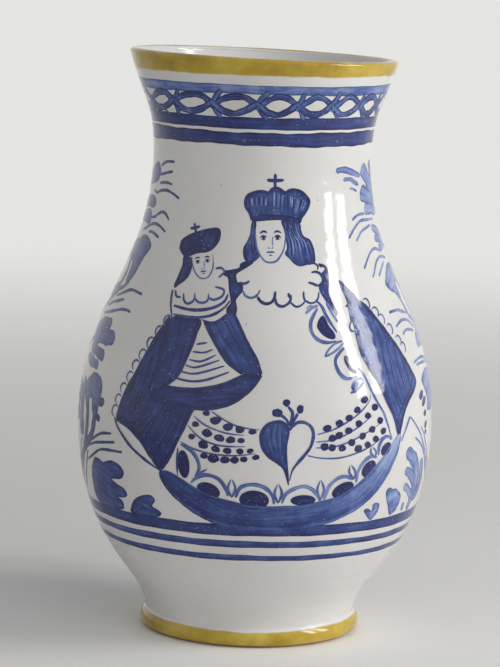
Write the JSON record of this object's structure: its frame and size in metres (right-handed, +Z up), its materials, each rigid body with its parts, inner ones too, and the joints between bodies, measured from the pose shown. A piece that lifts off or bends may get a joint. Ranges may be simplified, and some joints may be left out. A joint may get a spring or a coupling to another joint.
{
  "type": "tin-glazed vase",
  "caption": "Wide-mouthed pear-shaped faience vase with a flared lip and a beaded foot, for flowers, painted in cobalt blue on white with yellow edges",
  "frame": {"origin": "middle of the ring that the vase stands on, on the surface under it", "axes": "+Z up along the axis it was thrown on; -Y is the painted front; +X is the viewer's right when facing the front"},
  "size_m": [0.1534, 0.1534, 0.25],
  "materials": {
    "clay": "bare fired clay, matt",
    "white_glaze": "opaque white tin glaze, glossy, painted in cobalt blue",
    "yellow_glaze": "antimony yellow over tin glaze, glossy"
  },
  "bodies": {
    "root": {"foot_ring": "clay", "floor_disc": "clay", "lower_bowl": "clay", "shoulder_bell": "clay", "neck_collar": "clay", "lip_ring": "clay", "foot_glaze": "yellow_glaze", "outer_glaze": "white_glaze", "inner_glaze": "white_glaze", "lip_glaze": "yellow_glaze"}
  },
  "joints": []
}
